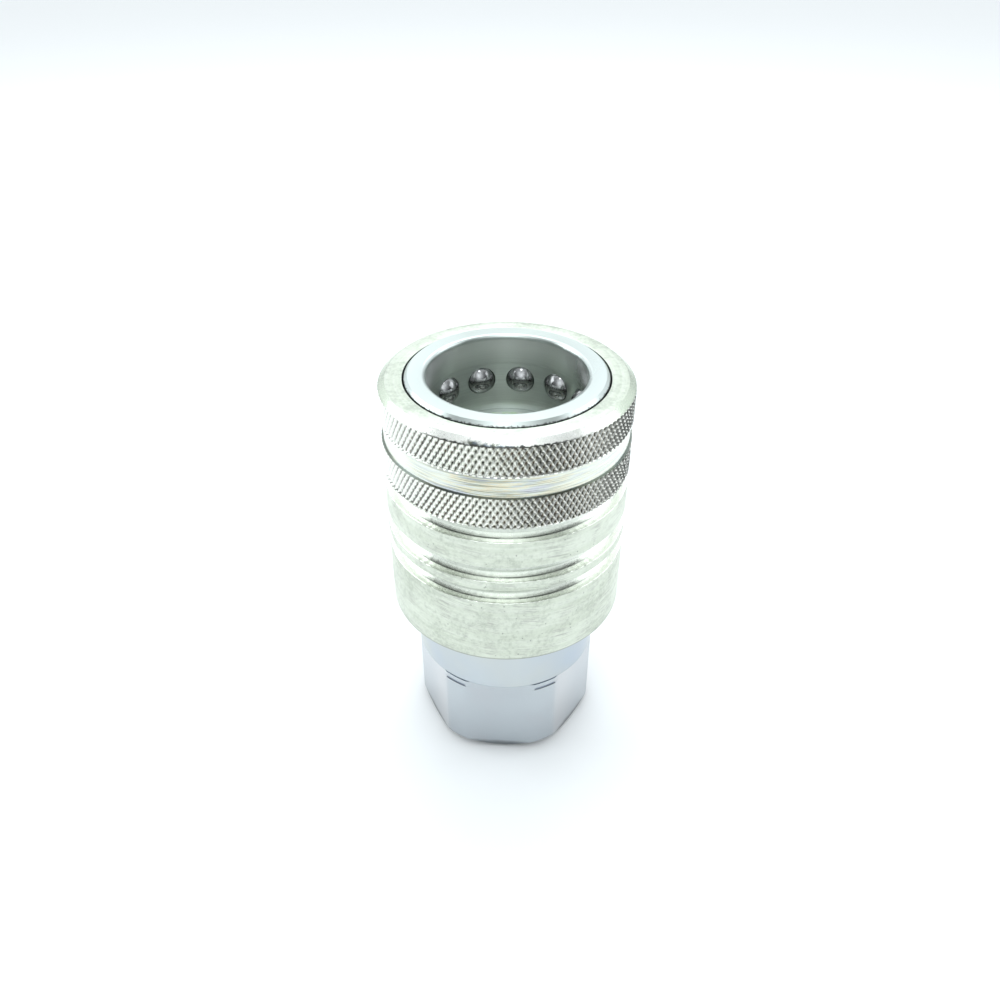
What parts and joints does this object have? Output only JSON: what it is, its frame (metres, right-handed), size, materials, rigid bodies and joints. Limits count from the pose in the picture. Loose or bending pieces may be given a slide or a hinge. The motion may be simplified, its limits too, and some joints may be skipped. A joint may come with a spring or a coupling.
{
  "type": "quick disconnect coupler",
  "caption": "Ball-lock hydraulic quick coupler socket: knurled sliding sleeve, spring poppet valve and a hexagonal end with a threaded port.",
  "frame": {"origin": "centre of the hexagonal end's face, on the coupler's axis", "axes": "+Z along the axis towards the socket's mouth, -Y normal to one wrench flat"},
  "size_m": [0.038, 0.038, 0.067],
  "materials": {
    "zinc_sleeve": "satin zinc plate with a pale yellow passivation, knurled and turned",
    "zinc_body": "smooth satin zinc plate, slightly blue",
    "ball_steel": "polished hardened steel",
    "valve_steel": "turned zinc plated steel",
    "spring_steel": "drawn spring steel wire",
    "ring_steel": "phosphated spring steel",
    "guide_steel": "plain turned and milled steel",
    "nbr": "black nitrile rubber",
    "ptfe": "white PTFE"
  },
  "bodies": {
    "coupler_body": {"socket_body": "zinc_body", "rear_adaptor": "zinc_body", "socket_o_ring": "nbr", "backup_ring": "ptfe", "adaptor_o_ring": "nbr", "poppet_guide": "guide_steel", "body_snap_ring": "ring_steel", "spring_washer": "guide_steel", "sleeve_spring": "spring_steel", "poppet_spring": "spring_steel"},
    "sleeve": {"locking_sleeve": "zinc_sleeve", "sleeve_guide_ring": "guide_steel", "sleeve_circlip": "ring_steel"},
    "valve": {"poppet": "valve_steel", "poppet_seal": "nbr"},
    "locking_ball_01": {"locking_ball_01": "ball_steel"},
    "locking_ball_02": {"locking_ball_02": "ball_steel"},
    "locking_ball_03": {"locking_ball_03": "ball_steel"},
    "locking_ball_04": {"locking_ball_04": "ball_steel"},
    "locking_ball_05": {"locking_ball_05": "ball_steel"},
    "locking_ball_06": {"locking_ball_06": "ball_steel"},
    "locking_ball_07": {"locking_ball_07": "ball_steel"},
    "locking_ball_08": {"locking_ball_08": "ball_steel"},
    "locking_ball_09": {"locking_ball_09": "ball_steel"},
    "locking_ball_10": {"locking_ball_10": "ball_steel"},
    "locking_ball_11": {"locking_ball_11": "ball_steel"},
    "locking_ball_12": {"locking_ball_12": "ball_steel"}
  },
  "joints": [
    {"name": "sleeve_slide", "type": "slide", "parent": "coupler_body", "child": "sleeve", "axis": [0, 0, -1], "range_m": [0, 0.0037], "stiffness_N_per_m": 4000, "springref_m": -0.004, "deforming": ["sleeve_spring"]},
    {"name": "poppet_slide", "type": "slide", "parent": "coupler_body", "child": "valve", "axis": [0, 0, -1], "range_m": [0, 0.004], "stiffness_N_per_m": 1500, "springref_m": -0.003, "deforming": ["poppet_spring"]},
    {"name": "ball_slide_01", "type": "slide", "parent": "coupler_body", "child": "locking_ball_01", "axis": [0.9178, 0.3971, 0], "range_m": [0, 0.0014]},
    {"name": "ball_slide_02", "type": "slide", "parent": "coupler_body", "child": "locking_ball_02", "axis": [0.5962, 0.8028, 0], "range_m": [0, 0.0014]},
    {"name": "ball_slide_03", "type": "slide", "parent": "coupler_body", "child": "locking_ball_03", "axis": [0.1149, 0.9934, 0], "range_m": [0, 0.0014]},
    {"name": "ball_slide_04", "type": "slide", "parent": "coupler_body", "child": "locking_ball_04", "axis": [-0.3971, 0.9178, 0], "range_m": [0, 0.0014]},
    {"name": "ball_slide_05", "type": "slide", "parent": "coupler_body", "child": "locking_ball_05", "axis": [-0.8028, 0.5962, 0], "range_m": [0, 0.0014]},
    {"name": "ball_slide_06", "type": "slide", "parent": "coupler_body", "child": "locking_ball_06", "axis": [-0.9934, 0.1149, 0], "range_m": [0, 0.0014]},
    {"name": "ball_slide_07", "type": "slide", "parent": "coupler_body", "child": "locking_ball_07", "axis": [-0.9178, -0.3971, 0], "range_m": [0, 0.0014]},
    {"name": "ball_slide_08", "type": "slide", "parent": "coupler_body", "child": "locking_ball_08", "axis": [-0.5962, -0.8028, 0], "range_m": [0, 0.0014]},
    {"name": "ball_slide_09", "type": "slide", "parent": "coupler_body", "child": "locking_ball_09", "axis": [-0.1149, -0.9934, 0], "range_m": [0, 0.0014]},
    {"name": "ball_slide_10", "type": "slide", "parent": "coupler_body", "child": "locking_ball_10", "axis": [0.3971, -0.9178, 0], "range_m": [0, 0.0014]},
    {"name": "ball_slide_11", "type": "slide", "parent": "coupler_body", "child": "locking_ball_11", "axis": [0.8028, -0.5962, 0], "range_m": [0, 0.0014]},
    {"name": "ball_slide_12", "type": "slide", "parent": "coupler_body", "child": "locking_ball_12", "axis": [0.9934, -0.1149, 0], "range_m": [0, 0.0014]}
  ],
  "couplings": [
    {"joint": "ball_slide_01", "follows": "sleeve_slide", "ratio": 0.35135},
    {"joint": "ball_slide_02", "follows": "sleeve_slide", "ratio": 0.35135},
    {"joint": "ball_slide_03", "follows": "sleeve_slide", "ratio": 0.35135},
    {"joint": "ball_slide_04", "follows": "sleeve_slide", "ratio": 0.35135},
    {"joint": "ball_slide_05", "follows": "sleeve_slide", "ratio": 0.35135},
    {"joint": "ball_slide_06", "follows": "sleeve_slide", "ratio": 0.35135},
    {"joint": "ball_slide_07", "follows": "sleeve_slide", "ratio": 0.35135},
    {"joint": "ball_slide_08", "follows": "sleeve_slide", "ratio": 0.35135},
    {"joint": "ball_slide_09", "follows": "sleeve_slide", "ratio": 0.35135},
    {"joint": "ball_slide_10", "follows": "sleeve_slide", "ratio": 0.35135},
    {"joint": "ball_slide_11", "follows": "sleeve_slide", "ratio": 0.35135},
    {"joint": "ball_slide_12", "follows": "sleeve_slide", "ratio": 0.35135}
  ]
}
